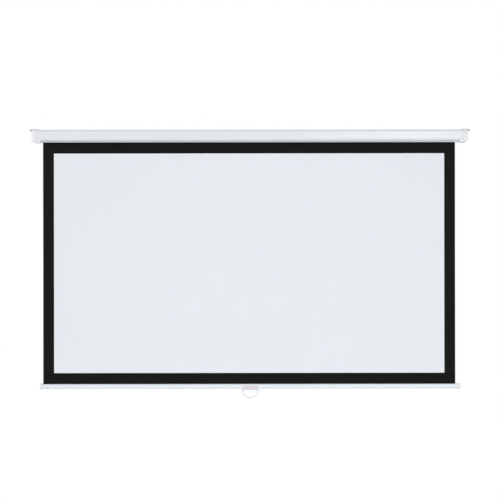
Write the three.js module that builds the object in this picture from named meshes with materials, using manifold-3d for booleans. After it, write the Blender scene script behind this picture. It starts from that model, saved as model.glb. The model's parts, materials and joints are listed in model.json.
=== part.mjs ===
// Pull down projection screen: a spring roller in a white case, a matt screen with a black border,
// and a weight bar with a wire pull loop. Millimetres, +Z up, +X to the right, the viewer at -Y.
// The origin is the middle of the case's flat back, level with the roller's axis. It is modelled
// with the screen pulled all the way down, which is how it is used.
import * as THREE from 'three';
import { mergeVertices } from 'three/addons/utils/BufferGeometryUtils.js';
import Module from 'manifold-3d';

const wasm = await Module();
wasm.setup();

// Clearances shared by all pieces
const seat = 0.3; // between a piece and what it sits in or on
const overrun = 1; // how far a cut runs past the faces that it opens

// Screen
const imageWidth = 2000;
const imageHeight = 1125;
const borderWidth = 56;
const fabricSetback = 12; // wall to the middle of the hanging cloth
const layerThickness = 0.2;

// Roller
const tubeRadius = 19;
const tubeWall = 1;
const tubeOverhang = 9; // tube past each edge of the cloth
const ratchetRoom = 16; // tube to the case's left end
const idleRoom = 25; // tube to the case's right end
const grooveWidth = 3.6;
const grooveDepth = 3;
const splineRadius = 1.3;
const wrapGap = 0.5;
const wrapTurns = 2.25; // turns that stay on the roller, which end over the groove
const plugFlange = 3;
const plugFlangeRise = 1; // flange radius over the tube's
const plugLength = 22;

// Case
const caseWall = 1.2;
const windingRoom = 8; // round the last turns, for the screen when it is wound up
const caseFrontRadius = 14;
const caseBackRadius = 4;
const lipDrop = 4;
const slotFrontGap = 12;
const slotBackGap = 5.5;
const portRadius = 3.2;
const portBore = 1.6;
const portBite = 0.6; // how far a screw port sinks into the case's corner

// End caps
const capReach = 24; // past the end of the case
const capLap = 1.5; // the cap stands this far proud of the case
const capWall = 2.5;
const capBackWall = 4.8;
const capDome = 4;
const capCrownRadius = 6; // the free end's upper corner, seen from the front
const capHeelRadius = 16; // and its lower corner
const capPlug = 22; // the cap's plug inside the case
const chinDrop = 3.2;
const chinInset = 6; // from the cap's free end
const chinLength = 40;
const chinRamp = 16; // over which its foot rises towards the middle of the screen
const chinRadius = 12;
const chinDepth = 54;
const chinEdge = 13;
const bossRadius = 4.4;
const screwBossDepth = 8;

// Hanging plates
const plateThickness = 2;
const plateDepth = 44;
const plateLength = 36.5;
const plateFoot = 8; // the plate's inner end, which lies on the case
const plateRamp = 4;
const tabReach = 15; // past the cap's end
const tabDrop = 4.5;
const tabNotchWidth = 5.4;
const tabNotchDepth = 9;
const legWidth = 17;
const legDrop = 12; // below the roller's axis
const keyholeRadius = 4.6;
const keyholeSlot = 4.8;
const keyholeTravel = 10;
const keyholeWindow = 1; // the cap's opening behind the keyhole is this much larger

// Screws and rivets
const screwRadius = 1.7;
const screwHole = 2;
const screwHeadRadius = 3.4;
const screwHeadHeight = 2.3;
const screwLength = 15;
const capScrewLength = 26;
const capScrewHeadRadius = 2.9;
const capScrewRadius = 1.3;
const counterbore = 0.6; // room round a sunk head
const counterboreDepth = 5;
const hangerScrewInset = 7.5; // from the cap's end
const hangerScrewFirst = 12; // from the wall
const hangerScrewPitch = 22;
const lockScrewInset = 13.5;
const lockScrewDrop = 18; // below the cap's top
const lockScrewHeadRadius = 2.6;
const lockScrewLength = 19;
const rivetHeadRadius = 3;
const rivetHeadHeight = 1.2;
const rivetRadius = 1.6;
const rivetFlare = 2.4;
const rivetInset = 2.4; // from the bracket's foot

// Brackets in the caps
const bracketPlate = 2;
const bracketHalfDepth = 17;
const socketHalfDepth = 7;
const socketHalfHeight = 8;
const socketLength = 8;
const bracketTab = 15;
const bracketTabHeight = 6;
const idleBossRadius = 8.5;
const idleBossLength = 16;
const idleBushRadius = 6;
const idleBushFlange = 2;
const idlePinRadius = 3;
const idlePinCollar = 5;
const idlePinCollarLength = 3;
const idlePinTail = 20;
const idlePinPast = 3; // short of the bracket plate

// Spring and ratchet
const shaftRadius = 4;
const spearThickness = 3;
const spearLength = 13;
const ratchetRadius = 9.5;
const ratchetNotch = 2.3;
const ratchetWidth = 5;
const clipRadius = 6.5;
const clipThickness = 1;
const pawlWidth = 4.4;
const pawlPivotInset = 4; // from the tube's outside
const pawlArm = 11;
const pawlThickness = 3;
const pawlEye = 3;
const pawlPinRadius = 1.5;
const pawlPinHead = 2.6;
const pawlPinHeadHeight = 1;
const pawlClearance = 0.7; // between the resting pawl's tip and the ratchet
const bushWall = 1.7;
const colletLength = 14;
const springGap = 2; // plug to collet
const springRadius = 9;
const springWire = 0.9;
const springPitch = 10;
const springCurls = 24;
const drivePlugLength = 12;

// Weight bar
const barHeight = 25;
const barDepth = 15;
const barWall = 1.3;
const barOverhang = 21.5; // half of what the bar is longer than the cloth is wide
const barSlot = 2.4;
const hemRodRadius = 2.5;
const hemWall = 0.4;
const hemRodInset = 4;
const barCapWall = 1.5;
const barCapEnd = 2.7;
const barCapSleeve = 16.5;
const barCapTop = 3;
const barCapFoot = 1;
const barCapEdge = 2.5;
const barPlugLength = 46;
const barScrewInset = 39.5; // from the tube's end
const barScrewDrop = 3.5; // below the bar's middle
const barScrewLength = 9;
const barScrewRadius = 1.4;
const barScrewHeadRadius = 2.6;
const barScrewHeadHeight = 1.2;

// Handle
const baseHalfLength = 38.2;
const baseWall = 2.5;
const baseTopDrop = 10.6; // from the bar's top to the saddle's edge
const earWidth = 8;
const earDrop = 8.6; // below the bar
const earDepth = 10;
const archDrop = 4; // the scallops' roof, below the bar
const nubHalf = 5;
const nubDrop = 10;
const archPlace = 13; // middle of each scallop
const loopRadius = 2.4;
const loopHole = 2.9;
const loopPivotDrop = 3.6; // below the bar
const loopRoom = 2.8; // base's end to the middle of the wire
const loopDepth = 42.5;
const loopBend = 3;
const loopPin = 8; // length of each end in its ear
const handleScrewLength = 9;

// Round steps
const roundSteps = 24;
const smallSteps = 12;
const tubeSteps = 48;
const cornerSteps = 5;
const caseSteps = 8;
const domeSteps = 4;
const springSides = 5;
const springSteps = 8;
const wrapSteps = 36;
const loopSides = 8;
const loopSteps = 44;
const loopPlaces = 12;

// Ratchet angles in degrees, counted from +Y towards +Z
const pawlAngle = 90;
const notchRampFrom = 106;
const notchRampTo = 118;
const notchFace = 141;

// Heights, depths and lengths that follow
const fabricWidth = imageWidth + 2 * borderWidth;
const fabricShift = (ratchetRoom - idleRoom) / 2; // the cloth sits a little left of the case's middle
const fabricLeft = fabricShift - fabricWidth / 2;
const fabricRight = fabricShift + fabricWidth / 2;
const fabricThickness = 2 * layerThickness;
const wrapPitch = fabricThickness + wrapGap;
const firstWrap = tubeRadius + seat + fabricThickness / 2;
const lastWrap = firstWrap + wrapTurns * wrapPitch;
const rollRadius = lastWrap + fabricThickness / 2;
const axisSetback = fabricSetback + lastWrap;
const caseReach = rollRadius + windingRoom + caseWall; // axis to the case's front and top
const caseFront = -axisSetback - caseReach;
const caseFloor = lipDrop - caseReach;
const lipFoot = -caseReach;
const slotFront = -fabricSetback - slotFrontGap;
const slotBack = -fabricSetback + slotBackGap;
const caseEnd = (fabricWidth + ratchetRoom + idleRoom) / 2 + tubeOverhang;
const capEnd = caseEnd + capReach;
const capInside = capEnd - capWall;
const capTop = caseReach + capLap;
const capFloor = lipFoot - capLap;
const capFront = caseFront - capLap;
const imageTop = lipFoot - borderWidth;
const imageFoot = imageTop - imageHeight;
const barTop = imageFoot - borderWidth;
const barMiddle = barTop - barHeight / 2;
const tubeLeft = fabricLeft - tubeOverhang;
const tubeRight = fabricRight + tubeOverhang;
const barLength = fabricWidth + 2 * barOverhang;

// An outline is a list of [u, v] points. Angles are in degrees.
function arc(u, v, radius, from, to, steps = cornerSteps) {
  const points = [];
  for (let step = 0; step <= steps; step += 1) {
    const angle = THREE.MathUtils.degToRad(from + ((to - from) * step) / steps);
    points.push([u + radius * Math.cos(angle), v + radius * Math.sin(angle)]);
  }
  return points;
}

function circle(u, v, radius, steps = smallSteps) {
  return arc(u, v, radius, 0, 360 - 360 / steps, steps - 1);
}

// A rectangle whose two lower corners are rounded.
function trough(lowU, highU, lowV, highV, radius) {
  return [
    ...arc(highU - radius, lowV + radius, radius, 270, 360),
    [highU, highV],
    [lowU, highV],
    ...arc(lowU + radius, lowV + radius, radius, 180, 270),
  ];
}

function rectangle(lowU, highU, lowV, highV) {
  return [
    [lowU, lowV],
    [highU, lowV],
    [highU, highV],
    [lowU, highV],
  ];
}

// The case's kind of section, with large corners in front and small ones behind.
function caseSection(back, front, foot, top, backRadius, frontRadius) {
  return [
    ...arc(back - backRadius, top - backRadius, backRadius, 0, 90),
    ...arc(front + frontRadius, top - frontRadius, frontRadius, 90, 180, caseSteps),
    ...arc(front + frontRadius, foot + frontRadius, frontRadius, 180, 270, caseSteps),
    ...arc(back - backRadius, foot + backRadius, backRadius, 270, 360),
  ];
}

// The weight bar's section: straight sides with a half round above and below.
function barSection(grow, up = grow, down = grow) {
  const radius = barDepth / 2 + grow;
  const top = barHeight / 2 + up - radius;
  const foot = radius - barHeight / 2 - down;
  const steps = 2 * cornerSteps;
  return [...arc(0, top, radius, 0, 180, steps), ...arc(0, foot, radius, 180, 360, steps)];
}

// A closed geometry as a solid that can be joined and cut.
function solid(geometry) {
  const bare = geometry.clone();
  bare.deleteAttribute('normal');
  bare.deleteAttribute('uv');
  const merged = mergeVertices(bare);
  const corners = merged.index.array;
  const kept = [];
  for (let at = 0; at < corners.length; at += 3) {
    const [a, b, c] = corners.slice(at, at + 3);
    if (a !== b && b !== c && c !== a) kept.push(a, b, c);
  }
  const mesh = new wasm.Mesh({
    numProp: 3,
    vertProperties: merged.attributes.position.array,
    triVerts: new Uint32Array(kept),
  });
  return new wasm.Manifold(mesh);
}

function geometryOf(body) {
  const mesh = body.getMesh();
  const geometry = new THREE.BufferGeometry();
  geometry.setAttribute('position', new THREE.BufferAttribute(mesh.vertProperties, 3));
  geometry.setIndex(new THREE.BufferAttribute(mesh.triVerts, 1));
  const flat = geometry.toNonIndexed();
  flat.computeVertexNormals();
  return flat;
}

const axisX = new THREE.Vector3(1, 0, 0);
const axisY = new THREE.Vector3(0, 1, 0);
const axisZ = new THREE.Vector3(0, 0, 1);
const turnedX = new THREE.Matrix4().makeBasis(axisY, axisZ, axisX);
const turnedY = new THREE.Matrix4().makeBasis(axisX, axisZ, axisY.clone().negate());

function vectors(outline) {
  return outline.map(([u, v]) => new THREE.Vector2(u, v));
}

function pushed(outline, depth, holes = []) {
  const shape = new THREE.Shape(vectors(outline));
  shape.holes = holes.map((hole) => new THREE.Path(vectors(hole)));
  return new THREE.ExtrudeGeometry(shape, { depth, bevelEnabled: false });
}

// A (y, z) outline drawn out along X.
function alongX(outline, from, to, holes = []) {
  const low = Math.min(from, to);
  return solid(pushed(outline, Math.abs(to - from), holes).translate(0, 0, low).applyMatrix4(turnedX));
}

// An (x, z) outline drawn out along Y.
function alongY(outline, from, to, holes = []) {
  const high = Math.max(from, to);
  return solid(pushed(outline, Math.abs(to - from), holes).translate(0, 0, -high).applyMatrix4(turnedY));
}

// An (x, y) outline drawn out along Z.
function alongZ(outline, from, to, holes = []) {
  return solid(pushed(outline, Math.abs(to - from), holes).translate(0, 0, Math.min(from, to)));
}

function block(xs, ys, zs) {
  const low = new THREE.Vector3(Math.min(...xs), Math.min(...ys), Math.min(...zs));
  const high = new THREE.Vector3(Math.max(...xs), Math.max(...ys), Math.max(...zs));
  const size = high.clone().sub(low);
  const middle = high.add(low).multiplyScalar(0.5);
  return solid(new THREE.BoxGeometry(size.x, size.y, size.z).translate(middle.x, middle.y, middle.z));
}

// A profile of [radius, x] points turned about the X axis. It starts and ends on the axis, or closes.
function turned(profile, steps = roundSteps) {
  const points = profile.map(([radius, x]) => new THREE.Vector2(radius, x));
  if (Math.sign(area(profile)) < 0) points.reverse();
  return solid(new THREE.LatheGeometry(points, steps).rotateZ(-Math.PI / 2));
}

function area(outline) {
  let twice = 0;
  outline.forEach(([u, v], at) => {
    const [nextU, nextV] = outline[(at + 1) % outline.length];
    twice += u * nextV - nextU * v;
  });
  return twice / 2;
}

// A ring or, with no bore, a disc about the X axis.
function ring(outer, bore, from, to, steps = roundSteps) {
  const low = Math.min(from, to);
  const high = Math.max(from, to);
  const profile = [
    [bore, low],
    [outer, low],
    [outer, high],
    [bore, high],
  ];
  return turned(bore > 0 ? [...profile, profile[0]] : profile, steps);
}

// (y, z) outlines of equal length at rising x, skinned into one body.
function lofted(sections) {
  const count = sections[0].outline.length;
  const places = sections.flatMap(({ x, outline }) => outline.map(([y, z]) => [x, y, z]));
  const faces = [];
  for (let row = 0; row < sections.length - 1; row += 1) {
    for (let at = 0; at < count; at += 1) {
      const next = (at + 1) % count;
      const [a, b, c, d] = [at, next, next + count, at + count].map((corner) => corner + row * count);
      faces.push(a, b, c, a, c, d);
    }
  }
  const last = (sections.length - 1) * count;
  const lids = [sections[0], sections.at(-1)].map(({ outline }) => {
    return THREE.ShapeUtils.triangulateShape(vectors(outline), []);
  });
  for (const [a, b, c] of lids[0]) faces.push(a, c, b);
  for (const [a, b, c] of lids[1]) faces.push(a + last, b + last, c + last);
  const geometry = new THREE.BufferGeometry();
  geometry.setAttribute('position', new THREE.Float32BufferAttribute(places.flat(), 3));
  geometry.setIndex(faces);
  return solid(geometry);
}

function finish(colour, roughness, metalness = 0) {
  return new THREE.MeshStandardMaterial({ color: colour, roughness, metalness });
}

const paint = () => finish('#e6eaee', 0.4);
const moulded = () => finish('#e8e6ea', 0.5);
const stamped = () => finish('#a2a6aa', 0.5, 0.7);
const zinc = () => finish('#a9adb1', 0.35, 0.9);
const nylon = () => finish('#dcdcd6', 0.55);

function part(name, body, material, parent) {
  const mesh = new THREE.Mesh(geometryOf(body), material);
  mesh.name = name;
  parent.add(mesh);
  return mesh;
}

const screen = new THREE.Group();
const roller = new THREE.Group();
const bar = new THREE.Group();
roller.position.set(0, -axisSetback, 0);
bar.position.set(0, -fabricSetback, barMiddle);
screen.add(roller, bar);

// Case: a C section with a fabric slot, a lip in front of the slot and two screw ports.
const portCorner = caseFrontRadius - caseWall - portRadius + portBite;
const portOut = portCorner * Math.SQRT1_2;
const portY = caseFront + caseFrontRadius - portOut;
const upperPort = [portY, caseReach - caseFrontRadius + portOut];
const lowerPort = [portY, caseFloor + caseFrontRadius - portOut];

function shellSection(inset) {
  return caseSection(
    -inset,
    caseFront + inset,
    caseFloor + inset,
    caseReach - inset,
    Math.max(caseBackRadius - inset, seat),
    caseFrontRadius - inset,
  );
}

function caseShell() {
  let shell = alongX(shellSection(0), -caseEnd, caseEnd, [shellSection(caseWall)]);
  const slotHeight = [caseFloor - overrun, caseFloor + caseWall + overrun];
  const slotLength = [-caseEnd - overrun, caseEnd + overrun];
  shell = shell.subtract(block(slotLength, [slotFront, slotBack], slotHeight));
  const lipTop = caseFloor + caseWall;
  shell = shell.add(block([-caseEnd, caseEnd], [slotFront - caseWall, slotFront], [lipFoot, lipTop]));
  for (const [y, z] of [upperPort, lowerPort]) {
    shell = shell.add(alongX(circle(y, z, portRadius), -caseEnd, caseEnd));
  }
  for (const [y, z] of [upperPort, lowerPort]) {
    shell = shell.subtract(alongX(circle(y, z, portBore), ...slotLength));
  }
  return shell;
}

part('case_shell', caseShell(), paint(), screen);

// End caps: a domed end that closes the case, a plug inside it and a chin that steadies it from below.
const legMiddle = capEnd - seat - capWall / 2 - legWidth / 2;
const keyholeFoot = -legDrop + 2 * keyholeRadius;
const hangerScrewX = capEnd - hangerScrewInset;
const hangerScrewYs = [-hangerScrewFirst, -hangerScrewFirst - hangerScrewPitch];
const lockScrewX = capEnd - lockScrewInset;
const lockScrewRise = capTop - lockScrewDrop;
const bracketTop = lockScrewRise + bracketTabHeight / 2;
const bracketFoot = capFloor + capHeelRadius;
const rivetSpread = -bracketFoot - rivetInset;
const capScrewSeat = capEnd - counterboreDepth;
const capMouth = caseEnd + seat;
const capBore = caseWall + seat + capWall;
const lipRoom = [slotFront - caseWall - seat, slotFront + seat];

function capSection(inset, back = 0) {
  return caseSection(
    back,
    capFront + inset,
    capFloor + inset,
    capTop - inset,
    caseBackRadius,
    caseFrontRadius + capLap - inset,
  );
}

// The cap seen from the front, in (x, z): square where it meets the case, round at its free end.
function capFace(side, inset) {
  const end = capEnd - inset;
  const foot = capFloor + inset;
  const top = capTop - inset;
  const heel = capHeelRadius - inset;
  const crown = Math.max(capCrownRadius - inset, seat);
  const outline = [
    [capMouth - overrun, foot],
    ...arc(end - heel, foot + heel, heel, 270, 360),
    ...arc(end - crown, top - crown, crown, 0, 90),
    [capMouth - overrun, top],
  ];
  return outline.map(([x, z]) => [side * x, z]);
}

function capBody(side) {
  const sections = [{ x: side * capMouth, outline: capSection(0) }];
  for (let step = 0; step <= domeSteps; step += 1) {
    const angle = ((Math.PI / 2) * step) / domeSteps;
    const x = side * (capEnd - capDome + capDome * Math.sin(angle));
    sections.push({ x, outline: capSection(capDome * (1 - Math.cos(angle))) });
  }
  const domed = lofted(side > 0 ? sections : sections.reverse());
  return domed.intersect(alongY(capFace(side, 0), capFront - overrun, overrun));
}

// Seen from the front, in (x, z), the chin is round at its outer end and rises to the case.
function chinFace(side, foot, top) {
  const out = capEnd - chinInset;
  const inner = out - chinLength;
  const outline = [
    [inner, capFloor],
    [inner + chinRamp, foot],
    ...arc(out - chinRadius, foot + chinRadius, chinRadius, 270, 360),
    [out, top],
    [inner, top],
  ];
  return outline.map(([x, z]) => [side * x, z]);
}

// It hugs the case's lower front corner, and leaves the lip its room.
function chin(side) {
  const out = side * (capEnd - chinInset);
  const inner = out - side * chinLength;
  const foot = capFloor - chinDrop;
  const top = caseFloor + caseFrontRadius / 2;
  const xs = [Math.min(out, inner), Math.max(out, inner)];
  const ys = [(capFront - chinDepth) / 2, (capFront + chinDepth) / 2];
  const fromFront = alongY(chinFace(side, foot, top), ...ys);
  const fromSide = alongX(trough(...ys, foot, top, chinEdge), ...xs);
  const pastCase = [inner - side * overrun, side * capMouth];
  const underCase = alongX(shellSection(-seat), ...pastCase);
  const underLip = block(pastCase, lipRoom, [lipFoot - seat, caseFloor]);
  return fromFront.intersect(fromSide).subtract(underCase).subtract(underLip);
}

// The hollow of the cap, less the bosses that its screws bite in.
function capHollow(side) {
  const section = capSection(capWall, -capBackWall);
  let hollow = alongX(section, side * (capMouth + capWall), side * capEnd);
  hollow = hollow.intersect(alongY(capFace(side, capWall), capFront, 0));
  const throughMouth = [side * (capMouth - overrun), side * (capMouth + capWall + seat)];
  hollow = hollow.add(alongX(shellSection(capBore), ...throughMouth));
  for (const y of hangerScrewYs) {
    const boss = circle(side * hangerScrewX, y, bossRadius);
    hollow = hollow.subtract(alongZ(boss, capTop - capWall - screwBossDepth, capTop));
  }
  for (const [y, z] of [upperPort, lowerPort]) {
    hollow = hollow.subtract(alongX(circle(y, z, bossRadius), side * (capMouth - overrun), side * capEnd));
  }
  return hollow;
}

// The plug is open below, where the cloth and the lip pass, and hollowed for the case's screw ports.
function plugRing(side) {
  const from = side * (caseEnd - capPlug);
  const section = shellSection(caseWall + seat);
  const round = alongX(section, from, side * (capMouth + seat), [shellSection(capBore)]);
  const pastRing = [from - side * overrun, side * capMouth];
  const underRing = [caseFloor, caseFloor + capBore + overrun];
  let plug = round.subtract(block(pastRing, [lipRoom[0], slotBack + seat], underRing));
  for (const [y, z] of [upperPort, lowerPort]) {
    plug = plug.subtract(alongX(circle(y, z, portRadius + seat), ...pastRing));
  }
  return plug;
}

function endCap(side) {
  let cap = capBody(side).add(chin(side)).subtract(capHollow(side)).add(plugRing(side));
  for (const y of hangerScrewYs) {
    const hole = circle(side * hangerScrewX, y, screwHole);
    cap = cap.subtract(alongZ(hole, capTop - capWall - screwBossDepth - overrun, capTop + overrun));
  }
  for (const [y, z] of [upperPort, lowerPort]) {
    cap = cap.subtract(alongX(circle(y, z, screwHole), side * caseEnd, side * (capEnd + overrun)));
    const sunk = circle(y, z, capScrewHeadRadius + counterbore);
    cap = cap.subtract(alongX(sunk, side * capScrewSeat, side * (capEnd + overrun)));
  }
  const pocketHalf = legWidth / 2 + seat;
  const pocket = [side * (legMiddle - pocketHalf), side * (legMiddle + pocketHalf)];
  const pocketFloor = -plateThickness - seat;
  cap = cap.subtract(block(pocket, [pocketFloor, overrun], [-legDrop - seat, capTop + overrun]));
  cap = cap.subtract(alongY(keyhole(side * legMiddle, keyholeWindow), -capBackWall - overrun, 0));
  for (const rise of [rivetSpread, -rivetSpread]) {
    const hole = circle(-axisSetback, rise, rivetRadius + seat);
    cap = cap.subtract(alongX(hole, side * (capInside - overrun), side * (capEnd + overrun)));
  }
  if (side > 0) {
    const hole = circle(lockScrewX, lockScrewRise, screwHole);
    cap = cap.subtract(alongY(hole, capFront - overrun, capFront + capWall + overrun));
  }
  return cap;
}

// A round hole with a narrower slot above it, in (x, z).
function keyhole(x, grow) {
  const radius = keyholeRadius + grow;
  const half = keyholeSlot / 2 + grow;
  const neck = THREE.MathUtils.radToDeg(Math.acos(half / radius));
  const top = keyholeFoot + keyholeTravel;
  const slotEnd = arc(x, top, half, 0, 180, smallSteps / 2);
  return [...slotEnd, ...arc(x, keyholeFoot, radius, 180 - neck, 360 + neck, smallSteps)];
}

for (const [word, side] of [['left', -1], ['right', 1]]) {
  part(`end_cap_${word}`, endCap(side), moulded(), screen);
}

// Hanging plates: a flat plate on the cap, a notched tab past its end and a leg with a keyhole.
function hangingPlate(side) {
  const foot = capTop + seat;
  const tip = capEnd + tabReach;
  const inner = capEnd - plateLength;
  const under = [
    [inner, caseReach + seat],
    [inner + plateFoot, caseReach + seat],
    [inner + plateFoot + plateRamp, foot],
    [capEnd, foot],
    [tip, foot - tabDrop],
  ];
  const over = under.map(([x, z]) => [x, z + plateThickness]).reverse();
  const profile = [...under, ...over].map(([x, z]) => [side * x, z]);
  let plate = alongY(profile, -plateDepth, 0);
  const legSides = [side * (legMiddle - legWidth / 2), side * (legMiddle + legWidth / 2)];
  plate = plate.add(block(legSides, [-plateThickness, 0], [-legDrop, foot + plateThickness]));
  plate = plate.subtract(alongY(keyhole(side * legMiddle, 0), -plateThickness - overrun, overrun));
  const notchMiddle = -plateDepth / 2;
  const notchHalf = tabNotchWidth / 2;
  const notchEnd = side * (tip - tabNotchDepth + notchHalf);
  const notchTop = foot + plateThickness + overrun;
  const notchFoot = foot - tabDrop - overrun;
  plate = plate.subtract(alongZ(circle(notchEnd, notchMiddle, notchHalf), notchFoot, notchTop));
  const notchSides = [notchMiddle - notchHalf, notchMiddle + notchHalf];
  plate = plate.subtract(block([notchEnd, side * (tip + overrun)], notchSides, [notchFoot, notchTop]));
  for (const y of hangerScrewYs) {
    plate = plate.subtract(alongZ(circle(side * hangerScrewX, y, screwHole), foot - overrun, notchTop));
  }
  return plate;
}

for (const [word, side] of [['left', -1], ['right', 1]]) {
  part(`hanger_${word}`, hangingPlate(side), stamped(), screen);
}

// A pan head screw along X: the head's seat at x = 0 and the point towards -X.
function screw(headRadius, headHeight, radius, length) {
  const rim = headHeight / 2;
  return turned(
    [
      [0, -length],
      [radius, radius - length],
      [radius, 0],
      [headRadius, 0],
      [headRadius, rim],
      [headRadius - rim, headHeight],
      [0, headHeight],
    ],
    smallSteps,
  );
}

// Places a piece that points along X so that it points along another direction.
function aim(mesh, direction, x, y, z) {
  mesh.quaternion.setFromUnitVectors(axisX, direction);
  mesh.position.set(x, y, z);
}

const hangerScrewZ = capTop + seat + plateThickness + seat;
for (const [word, side] of [['left', -1], ['right', 1]]) {
  hangerScrewYs.forEach((y, at) => {
    const body = screw(screwHeadRadius, screwHeadHeight, screwRadius, screwLength);
    const mesh = part(`hanger_screw_${word}_${at + 1}`, body, zinc(), screen);
    aim(mesh, axisZ, side * hangerScrewX, y, hangerScrewZ);
  });
  [upperPort, lowerPort].forEach(([y, z], at) => {
    const body = screw(capScrewHeadRadius, screwHeadHeight, capScrewRadius, capScrewLength);
    const mesh = part(`cap_screw_${word}_${at + 1}`, body, zinc(), screen);
    aim(mesh, axisX.clone().multiplyScalar(side), side * (capScrewSeat + seat), y, z);
  });
}

const lockScrewBody = screw(lockScrewHeadRadius, screwHeadHeight, screwRadius, lockScrewLength);
const lockScrew = part('idle_lock_screw', lockScrewBody, zinc(), screen);
aim(lockScrew, axisY.clone().negate(), lockScrewX, capFront - seat, lockScrewRise);

// Brackets: riveted plates inside the caps. The left one takes the shaft's spear, the right one
// the idle pin's bush and the lock screw.
const plateOut = capInside - seat;
const plateIn = plateOut - bracketPlate;

function bracketBody(side) {
  const outline = rectangle(-bracketHalfDepth, bracketHalfDepth, bracketFoot, bracketTop);
  const holes = [rivetSpread, -rivetSpread].map((rise) => circle(0, rise, rivetRadius + seat));
  return alongX(outline, side * plateIn, side * plateOut, holes);
}

function spearBracket() {
  const socketEnd = plateIn - socketLength;
  const socketHeight = [-socketHalfHeight, socketHalfHeight];
  const socket = block([-plateIn - overrun, -socketEnd], [-socketHalfDepth, socketHalfDepth], socketHeight);
  const slotHalf = spearThickness / 2 + seat;
  const slotFoot = -shaftRadius - seat;
  const slotTop = socketHalfHeight + overrun;
  const slot = block([-plateIn, -socketEnd + overrun], [-slotHalf, slotHalf], [slotFoot, slotTop]);
  return bracketBody(-1).add(socket).subtract(slot);
}

function idleBracket() {
  const bossEnd = plateIn - idleBossLength;
  const bore = idleBushRadius + seat;
  const boss = ring(idleBossRadius, bore, bossEnd, plateIn + bracketPlate / 2);
  const tabZs = [bracketTop - bracketTabHeight, bracketTop];
  const tabYs = [-bracketHalfDepth, -bracketHalfDepth + bracketPlate];
  const tab = block([plateIn - bracketTab, plateOut], tabYs, tabZs);
  const hole = alongY(circle(lockScrewX, lockScrewRise, screwHole), tabYs[0] - overrun, tabYs[1] + overrun);
  return bracketBody(1).add(boss).add(tab).subtract(hole);
}

function rivet(side) {
  const out = capEnd + seat;
  const inner = plateIn - seat;
  const profile = [
    [0, inner - rivetHeadHeight],
    [rivetFlare, inner - rivetHeadHeight],
    [rivetFlare, inner],
    [rivetRadius, inner],
    [rivetRadius, out],
    [rivetHeadRadius, out],
    [rivetHeadRadius - rivetHeadHeight, out + rivetHeadHeight],
    [0, out + rivetHeadHeight],
  ];
  return turned(profile.map(([radius, x]) => [radius, side * x]), smallSteps);
}

part('spear_bracket', spearBracket(), zinc(), roller);
part('idle_bracket', idleBracket(), zinc(), roller);
for (const [word, side] of [['spear', -1], ['idle', 1]]) {
  [rivetSpread, -rivetSpread].forEach((rise, at) => {
    part(`${word}_bracket_rivet_${at + 1}`, rivet(side), zinc(), roller).position.z = rise;
  });
}

// Idle end: a nylon bush in the bracket, a steel pin that turns in it and the roller's plug.
function keyed(body, from, to) {
  const half = grooveWidth / 2 + tubeWall + seat;
  const floor = tubeRadius - grooveDepth - tubeWall - seat;
  return body.subtract(block([from, to], [-half, half], [floor, tubeRadius]));
}

const plugRadius = tubeRadius - tubeWall - seat;
const flangeRadius = tubeRadius + plugFlangeRise;
const idleBore = idlePinRadius + seat;
const idleFlangeIn = tubeRight + seat;
const idleFlangeOut = idleFlangeIn + plugFlange;
const bushIn = plateIn - idleBossLength - seat - idleBushFlange;

function idlePlug() {
  const inner = idleFlangeIn - plugLength;
  const round = ring(plugRadius, idleBore, inner, idleFlangeIn);
  const plug = keyed(round, inner - overrun, tubeRight + overrun);
  return plug.add(ring(flangeRadius, idleBore, idleFlangeIn, idleFlangeOut));
}

function idlePin() {
  const tip = plateIn - idlePinPast;
  const collarIn = idleFlangeOut + seat;
  const collarOut = collarIn + idlePinCollarLength;
  return turned(
    [
      [0, idleFlangeIn - idlePinTail],
      [idlePinRadius, idleFlangeIn - idlePinTail],
      [idlePinRadius, collarIn],
      [idlePinCollar, collarIn],
      [idlePinCollar, collarOut],
      [idlePinRadius, collarOut],
      [idlePinRadius, tip - idlePinRadius / 2],
      [idlePinRadius / 2, tip],
      [0, tip],
    ],
    smallSteps,
  );
}

function idleBush() {
  const rim = [idleBore, bushIn];
  return turned([
    rim,
    [idleBossRadius, bushIn],
    [idleBossRadius, bushIn + idleBushFlange],
    [idleBushRadius, bushIn + idleBushFlange],
    [idleBushRadius, plateIn - seat],
    [idleBore, plateIn - seat],
    rim,
  ]);
}

part('idle_bush', idleBush(), nylon(), roller);
part('idle_plug', idlePlug(), nylon(), roller);
part('idle_pin', idlePin(), zinc(), roller);

// Spring end: a fixed shaft with its ratchet, the roller's plug with two drop pawls, and the spring.
const carrierIn = tubeLeft - seat;
const carrierOut = carrierIn - plugFlange;
const carrierEnd = carrierIn + plugLength;
const shaftBore = shaftRadius + seat;
const bushRadius = shaftBore + bushWall;
const wheelIn = carrierOut - seat;
const wheelOut = wheelIn - ratchetWidth;
const colletFrom = carrierEnd + springGap;
const springFrom = colletFrom + springGap;
const springTo = springFrom + springPitch * springCurls;
const drivePlugFrom = springTo + springWire + seat;
const drivePlugTo = drivePlugFrom + drivePlugLength;
// The wire runs in straight steps, so its chords come nearer to the axis than its corners.
const colletRadius = springRadius * Math.cos(Math.PI / springSteps) - springWire - seat;

function springShaft() {
  const spearFrom = seat - plateIn;
  const round = ring(shaftRadius, 0, spearFrom, drivePlugTo - springGap);
  const flat = spearThickness / 2;
  const spearTo = spearFrom + spearLength;
  const reach = shaftRadius + overrun;
  const cheeks = [-1, 1].map((side) => {
    return block([spearFrom - overrun, spearTo], [side * flat, side * reach], [-reach, reach]);
  });
  return round.subtract(cheeks[0]).subtract(cheeks[1]);
}

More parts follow.
